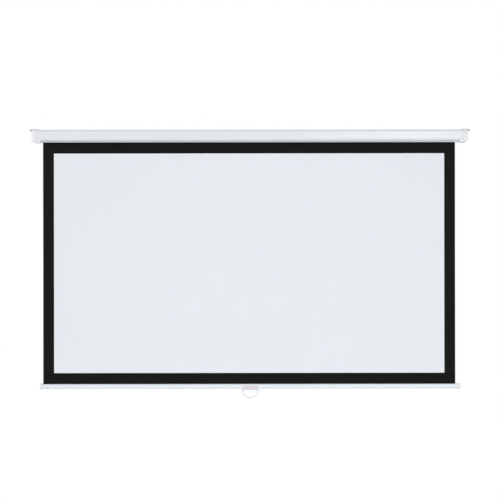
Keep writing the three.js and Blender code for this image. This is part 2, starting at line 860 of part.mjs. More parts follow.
function ratchetWheel() {
  const floor = ratchetRadius - ratchetNotch;
  const outline = [];
  for (const turn of [0, 180]) {
    const rim = [turn + notchFace - 180, turn + notchRampFrom];
    outline.push(...arc(0, 0, ratchetRadius, ...rim, roundSteps / 2));
    outline.push(...arc(0, 0, floor, turn + notchRampTo, turn + notchFace, 2));
  }
  return alongX(outline, wheelOut, wheelIn, [circle(0, 0, shaftBore, roundSteps)]);
}

const pawlPivotRadius = tubeRadius - pawlPivotInset;
const pawlPivots = [pawlAngle, pawlAngle + 180].map((angle) => {
  const turn = THREE.MathUtils.degToRad(angle);
  return [pawlPivotRadius * Math.cos(turn), pawlPivotRadius * Math.sin(turn)];
});

function pawlCarrier() {
  const bore = bushRadius + seat;
  const round = ring(plugRadius, bore, carrierIn, carrierEnd);
  const plug = keyed(round, tubeLeft - overrun, carrierEnd + overrun);
  let carrier = plug.add(ring(flangeRadius, bore, carrierOut, carrierIn));
  for (const [y, z] of pawlPivots) {
    const hole = circle(y, z, pawlPinRadius + seat);
    carrier = carrier.subtract(alongX(hole, carrierOut - overrun, carrierIn + overrun));
  }
  return carrier;
}

// The resting pawl points down past the ratchet's rim: its tip's inner corner clears the wheel.
const tipRadius = ratchetRadius + pawlClearance;
const pawlDrop = (pawlPivotRadius ** 2 + pawlArm ** 2 - tipRadius ** 2) / (2 * pawlPivotRadius * pawlArm);
const pawlTurn = Math.PI + Math.asin(pawlDrop);

function pawl(turn) {
  const from = wheelIn - pawlWidth;
  const arm = alongX(rectangle(0, pawlArm, -pawlThickness, 0), from, wheelIn);
  const eye = alongX(circle(0, 0, pawlEye), from, wheelIn);
  const hole = alongX(circle(0, 0, pawlPinRadius + seat), from - overrun, wheelIn + overrun);
  const geometry = geometryOf(arm.add(eye).subtract(hole));
  return solid(geometry.rotateX(pawlTurn + turn));
}

function pawlPin() {
  const head = wheelIn - pawlWidth - seat;
  const profile = [
    [0, head - pawlPinHeadHeight],
    [pawlPinHead, head - pawlPinHeadHeight],
    [pawlPinHead, head],
    [pawlPinRadius, head],
    [pawlPinRadius, carrierIn - seat],
    [0, carrierIn - seat],
  ];
  return turned(profile, smallSteps);
}

function torsionSpring() {
  class Helix extends THREE.Curve {
    getPoint(share, target = new THREE.Vector3()) {
      const angle = 2 * Math.PI * springCurls * share;
      const x = springFrom + (springTo - springFrom) * share;
      return target.set(x, springRadius * Math.cos(angle), springRadius * Math.sin(angle));
    }
  }
  const wire = new THREE.Shape(vectors(circle(0, 0, springWire, springSides)));
  const steps = springCurls * springSteps;
  return solid(new THREE.ExtrudeGeometry(wire, { steps, extrudePath: new Helix() }));
}

function drivePlug() {
  const disc = ring(plugRadius, shaftBore, drivePlugFrom, drivePlugTo);
  const hub = ring(colletRadius, shaftBore, drivePlugFrom - colletLength, drivePlugFrom);
  return keyed(disc, drivePlugFrom - overrun, drivePlugTo + overrun).add(hub);
}

const shaftClip = ring(clipRadius, shaftBore, wheelOut - seat - clipThickness, wheelOut - seat);
const springCollet = ring(colletRadius, shaftBore, colletFrom, colletFrom + colletLength);
part('spring_shaft', springShaft(), zinc(), roller);
part('ratchet_wheel', ratchetWheel(), zinc(), roller);
part('shaft_clip', shaftClip, zinc(), roller);
part('spring_collet', springCollet, zinc(), roller);
part('torsion_spring', torsionSpring(), zinc(), roller);
part('drive_plug', drivePlug(), nylon(), roller);
part('carrier_bush', ring(bushRadius, shaftBore, carrierOut, carrierEnd), nylon(), roller);
part('pawl_carrier', pawlCarrier(), zinc(), roller);
[['upper', 0], ['lower', Math.PI]].forEach(([word, turn], at) => {
  const [y, z] = pawlPivots[at];
  part(`pawl_${word}`, pawl(turn), zinc(), roller).position.set(0, y, z);
  part(`pawl_pin_${word}`, pawlPin(), zinc(), roller).position.set(0, y, z);
});

// Roller tube with a rolled groove, the spline that locks the cloth in it and the turns left on.
function rollerTube() {
  const grooveOutline = (radius, half, floor) => {
    const lean = THREE.MathUtils.radToDeg(Math.asin(half / radius));
    return [...arc(0, 0, radius, 90 + lean, 450 - lean, tubeSteps), [half, floor], [-half, floor]];
  };
  const outer = grooveOutline(tubeRadius, grooveWidth / 2, tubeRadius - grooveDepth);
  const inside = tubeRadius - tubeWall;
  const inner = grooveOutline(inside, grooveWidth / 2 + tubeWall, inside - grooveDepth);
  return alongX(outer, tubeLeft, tubeRight, [inner]);
}

function wraps() {
  const steps = Math.round(wrapTurns * wrapSteps);
  const rim = (side) => {
    const points = [];
    for (let step = 0; step <= steps; step += 1) {
      const turn = (2 * Math.PI * wrapTurns * step) / steps;
      const radius = lastWrap - (wrapTurns * wrapPitch * step) / steps + (side * fabricThickness) / 2;
      points.push([radius * Math.cos(turn), radius * Math.sin(turn)]);
    }
    return points;
  };
  return alongX([...rim(1), ...rim(-1).reverse()], fabricLeft, fabricRight);
}

part('roller_tube', rollerTube(), zinc(), roller);
const spline = ring(splineRadius, 0, fabricLeft, fabricRight, smallSteps);
const splineRise = tubeRadius - grooveDepth + seat + splineRadius;
part('fabric_spline', spline, nylon(), roller).position.z = splineRise;
part('fabric_wraps', wraps(), finish('#1b1b1b', 0.8), roller);

// Screen: the white image area inside the black border, with the black light stop behind them.
const clothFoot = barTop - barWall;
const frontFace = -fabricSetback - seat / 2;
const backFace = -fabricSetback + seat / 2;
const windowLeft = fabricShift - imageWidth / 2;
const windowRight = fabricShift + imageWidth / 2;
const wholeCloth = rectangle(fabricLeft, fabricRight, clothFoot, -seat);
const imageWindow = rectangle(windowLeft, windowRight, imageFoot, imageTop);
const imageSheet = rectangle(windowLeft + seat, windowRight - seat, imageFoot + seat, imageTop - seat);
const whiteCloth = alongY(imageSheet, frontFace - layerThickness, frontFace);
const blackFrame = alongY(wholeCloth, frontFace - layerThickness, frontFace, [imageWindow]);
const blackBack = alongY(wholeCloth, backFace, backFace + layerThickness);
part('viewing_surface', whiteCloth, finish('#e9edf1', 0.9), screen);
part('border_mask', blackFrame, finish('#1d1d1d', 0.85), screen);
part('black_backing', blackBack, finish('#1a1a1a', 0.85), screen);

// Weight bar, in its own frame: the middle of its section is the origin.
const half = barLength / 2;
const tubeEnd = half - barCapEnd;
const hemRadius = hemRodRadius + seat + hemWall;
const hemRise = barHeight / 2 - barWall - seat - hemRadius;
const plugTop = hemRise - hemRadius - seat;
const barScrewX = tubeEnd - barScrewInset;

function barTube() {
  let tube = alongX(barSection(0), -tubeEnd, tubeEnd, [barSection(-barWall)]);
  const slotSides = [-barSlot / 2, barSlot / 2];
  const slotZs = [barHeight / 2 - barWall - overrun, barHeight / 2 + overrun];
  tube = tube.subtract(block([-half, half], slotSides, slotZs));
  for (const x of [-barScrewX, barScrewX]) {
    const hole = circle(x, -barScrewDrop, barScrewRadius + seat);
    tube = tube.subtract(alongY(hole, -barDepth / 2 - overrun, -barDepth / 2 + barWall + overrun));
  }
  for (const x of [-archPlace, archPlace]) {
    const hole = circle(x, 0, barScrewRadius + seat);
    tube = tube.subtract(alongZ(hole, -barHeight / 2 - overrun, -barHeight / 2 + barWall + overrun));
  }
  return tube;
}

function barCap(side) {
  const mouth = half - barCapSleeve;
  const sections = [{ x: side * mouth, outline: grownBar(0) }];
  for (let step = 0; step <= domeSteps; step += 1) {
    const angle = ((Math.PI / 2) * step) / domeSteps;
    const x = side * (half - barCapEdge + barCapEdge * Math.sin(angle));
    sections.push({ x, outline: grownBar(barCapEdge * (1 - Math.cos(angle))) });
  }
  let cap = lofted(side > 0 ? sections : sections.reverse());
  cap = cap.subtract(alongX(barSection(seat), side * (mouth - overrun), side * (tubeEnd + seat)));
  const plugEnd = side * (tubeEnd - barPlugLength);
  let plug = alongX(barSection(-barWall - seat), plugEnd, side * (tubeEnd + barCapEnd / 2));
  const hemRoom = [plugEnd - side * overrun, side * half];
  plug = plug.subtract(block(hemRoom, [-barDepth, barDepth], [plugTop, barHeight]));
  const hole = circle(side * barScrewX, -barScrewDrop, barScrewRadius + seat);
  return cap.add(plug.subtract(alongY(hole, -barDepth, barDepth / 4)));
}

function grownBar(inset) {
  return barSection(seat + barCapWall - inset, barCapTop - inset, barCapFoot - inset);
}

part('bar_tube', barTube(), finish('#dfe3e7', 0.35, 0.1), bar);
for (const [word, side] of [['left', -1], ['right', 1]]) {
  part(`bar_cap_${word}`, barCap(side), moulded(), bar);
  const body = screw(barScrewHeadRadius, barScrewHeadHeight, barScrewRadius, barScrewLength);
  const mesh = part(`bar_cap_screw_${word}`, body, zinc(), bar);
  aim(mesh, axisY.clone().negate(), side * barScrewX, -barDepth / 2 - seat, -barScrewDrop);
}
const hem = ring(hemRadius, hemRodRadius + seat, fabricLeft, fabricRight, smallSteps);
const hemRod = ring(hemRodRadius, 0, fabricLeft + hemRodInset, fabricRight - hemRodInset, smallSteps);
part('fabric_hem', hem, finish('#1c1c1c', 0.8), bar).position.z = hemRise;
part('hem_rod', hemRod, zinc(), bar).position.z = hemRise;

// Handle: a saddle clipped on the bar with an ear at each end, a nub in the middle and a wire loop.
const barFoot = -barHeight / 2;
const pivotZ = barFoot - loopPivotDrop;

function handleBase() {
  const saddleTop = barHeight / 2 - baseTopDrop;
  let base = alongX(barSection(seat + baseWall), -baseHalfLength, baseHalfLength);
  base = base.subtract(block([-barLength, barLength], [-barDepth, barDepth], [saddleTop, barHeight]));
  const earFoot = barFoot - earDrop;
  const archRoof = barFoot - archDrop;
  const rim = new THREE.Shape();
  rim.moveTo(-baseHalfLength, barFoot);
  rim.lineTo(-baseHalfLength, earFoot);
  rim.lineTo(earWidth - baseHalfLength, earFoot);
  rim.quadraticCurveTo(-archPlace, archRoof, -nubHalf, archRoof);
  rim.quadraticCurveTo(-nubHalf / 2, barFoot - nubDrop, 0, barFoot - nubDrop);
  rim.quadraticCurveTo(nubHalf / 2, barFoot - nubDrop, nubHalf, archRoof);
  rim.quadraticCurveTo(archPlace, archRoof, baseHalfLength - earWidth, earFoot);
  rim.lineTo(baseHalfLength, earFoot);
  rim.lineTo(baseHalfLength, barFoot);
  const outline = rim.getPoints(cornerSteps).map((point) => [point.x, point.y]);
  base = base.add(alongY(outline, -earDepth / 2, earDepth / 2));
  base = base.subtract(alongX(barSection(seat), -baseHalfLength - overrun, baseHalfLength + overrun));
  for (const side of [-1, 1]) {
    const bore = circle(0, pivotZ, loopHole, roundSteps / 2);
    const deep = baseHalfLength - loopPin - overrun;
    base = base.subtract(alongX(bore, side * deep, side * (baseHalfLength + overrun)));
    const hole = circle(side * archPlace, 0, barScrewRadius + seat);
    base = base.subtract(alongZ(hole, barFoot - earDrop - overrun, barFoot + overrun));
  }
  return base;
}

function pullLoop() {
  const pinEnd = baseHalfLength - loopPin;
  const loopHalf = baseHalfLength + loopRoom;
  const places = [new THREE.Vector3(-pinEnd, 0, 0), new THREE.Vector3(loopBend - loopHalf, 0, 0)];
  for (let step = 0; step <= loopPlaces; step += 1) {
    const angle = Math.PI + (Math.PI * step) / loopPlaces;
    const z = -loopBend + (loopDepth - loopBend) * Math.sin(angle);
    places.push(new THREE.Vector3(loopHalf * Math.cos(angle), 0, z));
  }
  places.push(new THREE.Vector3(loopHalf - loopBend, 0, 0), new THREE.Vector3(pinEnd, 0, 0));
  const path = new THREE.CatmullRomCurve3(places, false, 'centripetal');
  const wire = new THREE.Shape(vectors(circle(0, 0, loopRadius, loopSides)));
  return solid(new THREE.ExtrudeGeometry(wire, { steps: loopSteps, extrudePath: path }));
}

part('handle_base', handleBase(), finish('#dcd5da', 0.5), bar);
part('pull_loop', pullLoop(), finish('#cdd0d3', 0.3, 0.6), bar).position.z = pivotZ;
for (const [word, side] of [['left', -1], ['right', 1]]) {
  const body = screw(barScrewHeadRadius, barScrewHeadHeight, barScrewRadius, handleScrewLength);
  const mesh = part(`handle_screw_${word}`, body, zinc(), bar);
  aim(mesh, axisZ.clone().negate(), side * archPlace, 0, barFoot - archDrop - barScrewHeadHeight - seat);
}

export default screen;
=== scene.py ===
import json
import math

import bpy
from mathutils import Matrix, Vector

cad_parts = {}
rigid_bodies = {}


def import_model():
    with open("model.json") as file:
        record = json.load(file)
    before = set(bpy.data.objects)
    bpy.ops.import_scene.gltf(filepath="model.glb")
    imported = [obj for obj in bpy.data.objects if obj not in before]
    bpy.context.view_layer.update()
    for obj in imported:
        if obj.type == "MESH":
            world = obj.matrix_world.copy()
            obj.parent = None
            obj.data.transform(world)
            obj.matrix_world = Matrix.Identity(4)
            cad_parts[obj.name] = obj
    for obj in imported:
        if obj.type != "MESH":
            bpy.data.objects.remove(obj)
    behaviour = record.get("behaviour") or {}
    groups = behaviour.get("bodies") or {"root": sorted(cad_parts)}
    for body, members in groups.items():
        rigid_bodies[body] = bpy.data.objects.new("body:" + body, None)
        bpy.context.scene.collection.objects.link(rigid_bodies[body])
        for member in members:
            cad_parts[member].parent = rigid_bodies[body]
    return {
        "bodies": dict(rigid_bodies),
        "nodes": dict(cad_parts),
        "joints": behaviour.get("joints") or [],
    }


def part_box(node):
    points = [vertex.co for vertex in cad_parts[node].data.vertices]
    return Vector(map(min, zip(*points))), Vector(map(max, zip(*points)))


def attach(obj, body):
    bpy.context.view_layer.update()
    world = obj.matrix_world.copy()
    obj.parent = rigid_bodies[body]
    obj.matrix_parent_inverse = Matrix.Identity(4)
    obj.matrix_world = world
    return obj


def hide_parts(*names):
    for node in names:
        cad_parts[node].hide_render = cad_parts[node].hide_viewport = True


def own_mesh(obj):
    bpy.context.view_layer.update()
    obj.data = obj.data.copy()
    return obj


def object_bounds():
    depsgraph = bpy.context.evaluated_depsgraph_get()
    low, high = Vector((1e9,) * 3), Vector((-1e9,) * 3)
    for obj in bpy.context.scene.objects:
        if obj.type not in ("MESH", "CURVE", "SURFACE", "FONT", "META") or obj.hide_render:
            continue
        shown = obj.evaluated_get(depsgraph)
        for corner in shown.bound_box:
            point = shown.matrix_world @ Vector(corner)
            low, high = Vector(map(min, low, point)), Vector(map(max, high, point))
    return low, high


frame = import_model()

# A pull down projection screen: white case, matt cloth with a black border, weight bar and loop.
# X runs along the case, the viewer is at -Y, and Z is up. Sizes in the dictionaries are in
# millimetres, and everything that is built from them is in metres.
mm = 0.001

# The start-up file's own cube, lamp and camera go, so that only the screen is measured.
packed = list(frame["nodes"].values()) + list(frame["bodies"].values())
for leftOver in [thing for thing in bpy.data.objects if thing not in packed]:
    bpy.data.objects.remove(leftOver)
cadLow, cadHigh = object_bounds()
print("frame loaded:", len(frame["nodes"]), "nodes")

# Places that the pieces share, all read from the frame
maskLow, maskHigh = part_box("border_mask")
windowLow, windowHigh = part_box("viewing_surface")
hemLow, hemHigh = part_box("fabric_hem")
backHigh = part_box("black_backing")[1]
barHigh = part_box("bar_tube")[1]
clothY = (maskLow.y + backHigh.y) / 2
joints = {joint["name"]: joint for joint in frame["joints"]}


def middleOf(node):
    low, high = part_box(node)
    return (low + high) / 2


# Colours and nodes
def linear(hexColour):
    channels = [int(hexColour[at:at + 2], 16) / 255 for at in (1, 3, 5)]
    return [c / 12.92 if c <= 0.04045 else ((c + 0.055) / 1.055) ** 2.4 for c in channels] + [1.0]


def addNode(tree, kind, sockets=None, **settings):
    # Sockets are filled by name or number, with a value or with another node's output.
    node = tree.nodes.new(kind)
    for name, value in settings.items():
        setattr(node, name, value)
    for name, value in (sockets or {}).items():
        if isinstance(value, bpy.types.NodeSocket):
            tree.links.new(value, node.inputs[name])
        else:
            node.inputs[name].default_value = value
    return node


def newMaterial(name, finish):
    # A Principled surface with its uniform values on its own sockets, and the place in metres.
    material = bpy.data.materials.new(name)
    material.use_nodes = True
    tree = material.node_tree
    shader = tree.nodes["Principled BSDF"]
    shader.inputs["Base Color"].default_value = linear(finish["colour"])
    for socket, value in finish["surface"].items():
        shader.inputs[socket].default_value = value
    place = addNode(tree, "ShaderNodeTexCoord").outputs["Object"]
    return material, tree, shader, place


def perMillimetre(spacing):
    # Texture scale that repeats each so many millimetres.
    return 1 / (spacing * mm)


def patternAt(place, spacing, detail):
    return {"Vector": place, "Scale": perMillimetre(spacing), "Detail": detail}


def twoTones(factor, finish):
    # Between two near tones, for the slight unevenness of a real finish.
    return {0: factor, 6: linear(finish["tone"]), 7: linear(finish["colour"])}


def reliefOf(height, strength, depth):
    return {"Height": height, "Strength": strength, "Distance": depth * mm}


# Materials, each from what the real one is
powderCoat = {
    "colour": "#DDE3E7",
    "tone": "#D9DFE3",
    "surface": {"Roughness": 0.34, "IOR": 1.5},
    "cloud": 260,
    "cloudDetail": 2.0,
    "peel": 12,  # orange peel is 2 mm across on the real coat, drawn coarser so that it shows
    "peelDetail": 1.0,
    "peelStrength": 0.25,
    "peelDepth": 0.12,
}


def coatedSheetMetal():
    # Polyester powder coat, baked on formed sheet steel: a soft, even satin, faint orange peel.
    material, tree, shader, place = newMaterial(
        "white polyester powder coat on sheet steel", powderCoat
    )
    cloud = addNode(
        tree,
        "ShaderNodeTexNoise",
        patternAt(place, powderCoat["cloud"], powderCoat["cloudDetail"]),
    )
    shade = addNode(
        tree, "ShaderNodeMix", twoTones(cloud.outputs["Fac"], powderCoat), data_type="RGBA"
    )
    tree.links.new(shade.outputs[2], shader.inputs["Base Color"])
    peel = addNode(
        tree, "ShaderNodeTexNoise", patternAt(place, powderCoat["peel"], powderCoat["peelDetail"])
    )
    bump = addNode(
        tree,
        "ShaderNodeBump",
        reliefOf(peel.outputs["Fac"], powderCoat["peelStrength"], powderCoat["peelDepth"]),
    )
    tree.links.new(bump.outputs["Normal"], shader.inputs["Normal"])
    return material


barCoat = {
    "colour": "#E3E8EC",
    "tone": "#DEE4E8",
    "surface": {"Roughness": 0.33, "IOR": 1.5},
    "dieLine": 3,  # die lines are 0.5 mm apart on the real bar, drawn coarser so that they show
    "dieReach": 900,  # how far one line runs along the bar
    "dieDetail": 2.0,
    "dieStrength": 0.2,
    "dieDepth": 0.05,
}


def coatedExtrusion():
    # White stoved enamel on an aluminium extrusion: smoother than powder, faint lines along it.
    material, tree, shader, place = newMaterial("white enamel on extruded aluminium", barCoat)
    across = perMillimetre(barCoat["dieLine"])
    drawn = addNode(
        tree,
        "ShaderNodeMapping",
        {"Vector": place, "Scale": [perMillimetre(barCoat["dieReach"]), across, across]},
    )
    lines = addNode(
        tree,
        "ShaderNodeTexNoise",
        {"Vector": drawn.outputs["Vector"], "Scale": 1.0, "Detail": barCoat["dieDetail"]},
    )
    shade = addNode(
        tree, "ShaderNodeMix", twoTones(lines.outputs["Fac"], barCoat), data_type="RGBA"
    )
    tree.links.new(shade.outputs[2], shader.inputs["Base Color"])
    bump = addNode(
        tree,
        "ShaderNodeBump",
        reliefOf(lines.outputs["Fac"], barCoat["dieStrength"], barCoat["dieDepth"]),
    )
    tree.links.new(bump.outputs["Normal"], shader.inputs["Normal"])
    return material


mouldGrain = {
    "flow": 45,
    "flowDetail": 3.0,
    "spark": 3,  # spark eroded grain is 0.4 mm on the real mould, drawn coarser so that it shows
    "sparkDetail": 2.0,
    "sparkStrength": 0.35,
    "sparkDepth": 0.06,
}
capAbs = {
    "colour": "#EBE9EC",
    "tone": "#E6E4E8",
    "surface": {"Roughness": 0.5, "IOR": 1.54},
}
barCapAbs = {
    "colour": barCoat["colour"],
    "tone": barCoat["tone"],
    "surface": {"Roughness": 0.42, "IOR": 1.54},
}
handleAbs = {
    "colour": "#DDD4DA",
    "tone": "#D6CDD3",
    "surface": {"Roughness": 0.45, "IOR": 1.54},
}


def sparkedAbs(name, finish):
    # Injection moulded ABS from a spark eroded tool: a dry, fine grain with faint flow clouds.
    material, tree, shader, place = newMaterial(name, finish)
    flow = addNode(
        tree, "ShaderNodeTexNoise", patternAt(place, mouldGrain["flow"], mouldGrain["flowDetail"])
    )
    shade = addNode(
        tree, "ShaderNodeMix", twoTones(flow.outputs["Fac"], finish), data_type="RGBA"
    )
    tree.links.new(shade.outputs[2], shader.inputs["Base Color"])
    grain = addNode(
        tree,
        "ShaderNodeTexNoise",
        patternAt(place, mouldGrain["spark"], mouldGrain["sparkDetail"]),
    )
    bump = addNode(
        tree,
        "ShaderNodeBump",
        reliefOf(grain.outputs["Fac"], mouldGrain["sparkStrength"], mouldGrain["sparkDepth"]),
    )
    tree.links.new(bump.outputs["Normal"], shader.inputs["Normal"])
    return material


galvanised = {
    "colour": "#ADB1B5",
    "tone": "#8F9397",
    "worn": "#C2C6CA",
    "surface": {"Metallic": 0.7},
    "spangle": 5,  # across one zinc crystal of fine spangled sheet
    "spangleStrength": 0.2,
    "spangleDepth": 0.05,
    "shiniest": 0.42,
    "dullest": 0.58,
    "rubbing": 60,
    "rubbingDetail": 4.0,
    "rubbedFrom": 0.55,
    "rubbedTo": 0.75,
    "rubbedMost": 0.5,
}


def galvanisedSheet():
    # Stamped from hot dip galvanised sheet: a dull, pale grey metal with a zinc spangle, and
    # lighter where it was rubbed.
    material, tree, shader, place = newMaterial("stamped galvanised sheet steel", galvanised)
    crystals = addNode(
        tree,
        "ShaderNodeTexVoronoi",
        {"Vector": place, "Scale": perMillimetre(galvanised["spangle"])},
    )
    mottle = addNode(
        tree, "ShaderNodeMix", twoTones(crystals.outputs["Distance"], galvanised), data_type="RGBA"
    )
    rubbing = addNode(
        tree,
        "ShaderNodeTexNoise",
        patternAt(place, galvanised["rubbing"], galvanised["rubbingDetail"]),
    )
    rubbed = addNode(
        tree,
        "ShaderNodeMapRange",
        {
            "Value": rubbing.outputs["Fac"],
            "From Min": galvanised["rubbedFrom"],
            "From Max": galvanised["rubbedTo"],
            "To Max": galvanised["rubbedMost"],
        },
    )
    shade = addNode(
        tree,
        "ShaderNodeMix",
        {0: rubbed.outputs["Result"], 6: mottle.outputs[2], 7: linear(galvanised["worn"])},
        data_type="RGBA",
    )
    tree.links.new(shade.outputs[2], shader.inputs["Base Color"])
    roughness = addNode(
        tree,
        "ShaderNodeMapRange",
        {
            "Value": crystals.outputs["Distance"],
            "To Min": galvanised["shiniest"],
            "To Max": galvanised["dullest"],
        },
    )
    tree.links.new(roughness.outputs["Result"], shader.inputs["Roughness"])
    bump = addNode(
        tree,
        "ShaderNodeBump",
        reliefOf(
            crystals.outputs["Distance"], galvanised["spangleStrength"], galvanised["spangleDepth"]
        ),
    )
    tree.links.new(bump.outputs["Normal"], shader.inputs["Normal"])
    return material


zincPlate = {
    "colour": "#B4B8BC",
    "tone": "#A7AFB8",
    "surface": {"Metallic": 1.0},
    "cloud": 9,
    "cloudDetail": 3.0,
    "shiniest": 0.26,
    "dullest": 0.42,
    "brushing": 0.6,
    "brushingDetail": 1.0,
    "brushingStrength": 0.15,
    "brushingDepth": 0.02,
}


def platedSteel():
    # Zinc plated steel with a clear blue passivate: cold, bright and slightly cloudy.
    material, tree, shader, place = newMaterial("zinc plated steel", zincPlate)
    cloud = addNode(
        tree, "ShaderNodeTexNoise", patternAt(place, zincPlate["cloud"], zincPlate["cloudDetail"])
    )
    shade = addNode(
        tree, "ShaderNodeMix", twoTones(cloud.outputs["Fac"], zincPlate), data_type="RGBA"
    )
    tree.links.new(shade.outputs[2], shader.inputs["Base Color"])
    roughness = addNode(
        tree,
        "ShaderNodeMapRange",
        {
            "Value": cloud.outputs["Fac"],
            "To Min": zincPlate["shiniest"],
            "To Max": zincPlate["dullest"],
        },
    )
    tree.links.new(roughness.outputs["Result"], shader.inputs["Roughness"])
    fine = addNode(
        tree,
        "ShaderNodeTexNoise",
        patternAt(place, zincPlate["brushing"], zincPlate["brushingDetail"]),
    )
    bump = addNode(
        tree,
        "ShaderNodeBump",
        reliefOf(fine.outputs["Fac"], zincPlate["brushingStrength"], zincPlate["brushingDepth"]),
    )
    tree.links.new(bump.outputs["Normal"], shader.inputs["Normal"])
    return material


springSteel = {
    "colour": "#6E6A64",
    "tone": "#4A4640",
    "surface": {"Metallic": 1.0},
    "film": 7,
    "filmDetail": 3.0,
    "shiniest": 0.18,
    "dullest": 0.4,
}


def oiledSpringWire():
    # Hard drawn spring wire under oil: brownish grey, glossy where the film is thick.
    material, tree, shader, place = newMaterial("oiled spring wire", springSteel)
    film = addNode(
        tree,
        "ShaderNodeTexNoise",
        patternAt(place, springSteel["film"], springSteel["filmDetail"]),
    )
    shade = addNode(
        tree, "ShaderNodeMix", twoTones(film.outputs["Fac"], springSteel), data_type="RGBA"
    )
    tree.links.new(shade.outputs[2], shader.inputs["Base Color"])
    roughness = addNode(
        tree,
        "ShaderNodeMapRange",
        {
            "Value": film.outputs["Fac"],
            "To Min": springSteel["shiniest"],
            "To Max": springSteel["dullest"],
        },
    )
    tree.links.new(roughness.outputs["Result"], shader.inputs["Roughness"])
    return material


naturalNylon = {
    "colour": "#DEDDD5",
    "tone": "#D3D2C8",
    "surface": {"Roughness": 0.5, "IOR": 1.53},
    "flow": 14,
    "flowDetail": 2.0,
    "flowStrength": 0.2,
    "flowDepth": 0.05,
}
wireCoat = {
    "colour": "#E2E5E7",
    "tone": "#D9DCDF",
    "surface": {"Roughness": 0.36, "IOR": 1.53},
    "flow": 16,
    "flowDetail": 2.0,
    "flowStrength": 0.3,
    "flowDepth": 0.15,
}


def nylonSkin(name, finish):
    # Polyamide that ran before it set: waxy, and slightly wavy where it is thicker. Moulded
    # natural nylon is milky and a little warm, and the wire's dipped coat is a round, white skin.
    material, tree, shader, place = newMaterial(name, finish)
    flow = addNode(
        tree, "ShaderNodeTexNoise", patternAt(place, finish["flow"], finish["flowDetail"])
    )
    shade = addNode(
        tree, "ShaderNodeMix", twoTones(flow.outputs["Fac"], finish), data_type="RGBA"
    )
    tree.links.new(shade.outputs[2], shader.inputs["Base Color"])
    bump = addNode(
        tree,
        "ShaderNodeBump",
        reliefOf(flow.outputs["Fac"], finish["flowStrength"], finish["flowDepth"]),
    )
    tree.links.new(bump.outputs["Normal"], shader.inputs["Normal"])
    return material


clothWeave = {
    "thread": 4,  # glass threads are 0.45 mm apart, drawn coarser so that they show
    "threadDepth": 0.04,
    "cloud": 420,
    "cloudDetail": 2.0,
}
whiteFace = {
    "colour": "#E7EAEF",
    "tone": "#E5E8ED",
    "surface": {"Roughness": 0.95, "IOR": 1.45, "Specular IOR Level": 0.12},
    "threadStrength": 0.35,
}
printedFace = {
    "colour": "#181818",
    "tone": "#151515",
    "surface": {"Roughness": 0.9, "IOR": 1.45, "Specular IOR Level": 0.12},
    "threadStrength": 0.35,
}
backFace = {
    "colour": "#191919",
    "tone": "#141415",
    "surface": {
        "Roughness": 0.85, "IOR": 1.45, "Specular IOR Level": 0.12, "Sheen Weight": 0.02,
    },
    "threadStrength": 0.6,
}


def wovenCloth(name, finish):
    # Plain woven glass fibre with a rolled on coat: over and under threads show as a fine check.
    material, tree, shader, place = newMaterial(name, finish)
    cloud = addNode(
        tree,
        "ShaderNodeTexNoise",
        patternAt(place, clothWeave["cloud"], clothWeave["cloudDetail"]),
    )
    shade = addNode(
        tree, "ShaderNodeMix", twoTones(cloud.outputs["Fac"], finish), data_type="RGBA"
    )
    tree.links.new(shade.outputs[2], shader.inputs["Base Color"])
    threads = math.pi * perMillimetre(clothWeave["thread"])  # half a turn of the sine a thread
    spread = addNode(
        tree, "ShaderNodeMapping", {"Vector": place, "Scale": [threads, threads, threads]}
    )
    axes = addNode(tree, "ShaderNodeSeparateXYZ", {"Vector": spread.outputs["Vector"]})
    across = addNode(tree, "ShaderNodeMath", {0: axes.outputs["X"]}, operation="SINE")
    down = addNode(tree, "ShaderNodeMath", {0: axes.outputs["Z"]}, operation="SINE")
    weave = addNode(
        tree,
        "ShaderNodeMath",
        {0: across.outputs["Value"], 1: down.outputs["Value"]},
        operation="MULTIPLY",
    )
    bump = addNode(
        tree,
        "ShaderNodeBump",
        reliefOf(weave.outputs["Value"], finish["threadStrength"], clothWeave["threadDepth"]),
    )
    tree.links.new(bump.outputs["Normal"], shader.inputs["Normal"])
    return material


casePaint = coatedSheetMetal()
capPlastic = sparkedAbs("white moulded ABS", capAbs)
barCapPlastic = sparkedAbs("white moulded ABS, matched to the bar", barCapAbs)
handlePlastic = sparkedAbs("pale grey moulded ABS", handleAbs)
hangerSteel = galvanisedSheet()
zincSteel = platedSteel()
springWire = oiledSpringWire()
nylon = nylonSkin("natural moulded nylon", naturalNylon)
barPaint = coatedExtrusion()
loopCoat = nylonSkin("nylon dipped steel wire", wireCoat)
mattWhite = wovenCloth("matt white coat on woven glass fibre", whiteFace)
blackPrint = wovenCloth("matt black print on woven glass fibre", printedFace)
blackBack = wovenCloth("black backing of the cloth", backFace)
print("materials made")


# CAD pieces that show as they are: smooth faces, and edges rounded as the real ones are.
edgeWork = {
    "weld": 0.004,
    "flat": 1.0,  # degrees between faces that count as one face
    "corner": 28.0,  # degrees between faces that count as an edge
    "segments": 2,
    "faceWeight": 80,
}


def smoothFaces():
    group = bpy.data.node_groups.new("smooth faces", "GeometryNodeTree")
    for way in ("INPUT", "OUTPUT"):
        group.interface.new_socket("Geometry", in_out=way, socket_type="NodeSocketGeometry")
    given = addNode(group, "NodeGroupInput")
    smoothed = addNode(
        group, "GeometryNodeSetShadeSmooth", {"Geometry": given.outputs[0], "Shade Smooth": True}
    )
    addNode(group, "NodeGroupOutput", {0: smoothed.outputs["Geometry"]})
    return group


smoothGroup = smoothFaces()


